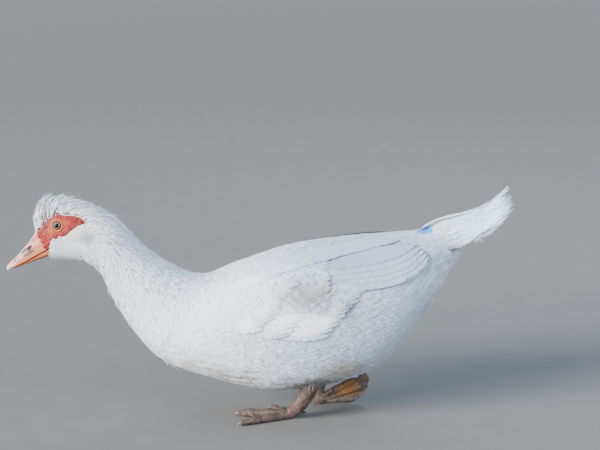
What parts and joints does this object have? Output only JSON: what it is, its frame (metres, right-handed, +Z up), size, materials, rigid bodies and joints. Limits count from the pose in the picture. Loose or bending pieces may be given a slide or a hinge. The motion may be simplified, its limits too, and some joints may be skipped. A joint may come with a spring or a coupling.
{
  "type": "muscovy duck",
  "caption": "Still life-size white Muscovy duck in a low walking stance, neck stretched forward, tail raised, far foot trailing.",
  "frame": {"origin": "on the floor, under the middle of the duck's length and width", "axes": "+Z up, the bill points to -X and the tail to +X, the duck's left side is at -Y"},
  "size_m": [0.6256, 0.172, 0.2922],
  "materials": {
    "plumage": "white feathers, matt with a soft sheen, red bare skin round the eyes",
    "bill": "satin horn, pinkish orange with dark patches",
    "eye": "wet and glossy, pale iris round a dark pupil",
    "leg": "dry scaled skin, dull buff to yellow"
  },
  "bodies": {
    "root": {"head": "plumage", "neck": "plumage", "torso": "plumage", "tail": "plumage", "wing_left": "plumage", "wing_right": "plumage", "thigh_left": "plumage", "thigh_right": "plumage", "bill_upper": "bill", "bill_lower": "bill", "eye_left": "eye", "eye_right": "eye", "leg_left": "leg", "leg_right": "leg"}
  },
  "joints": []
}
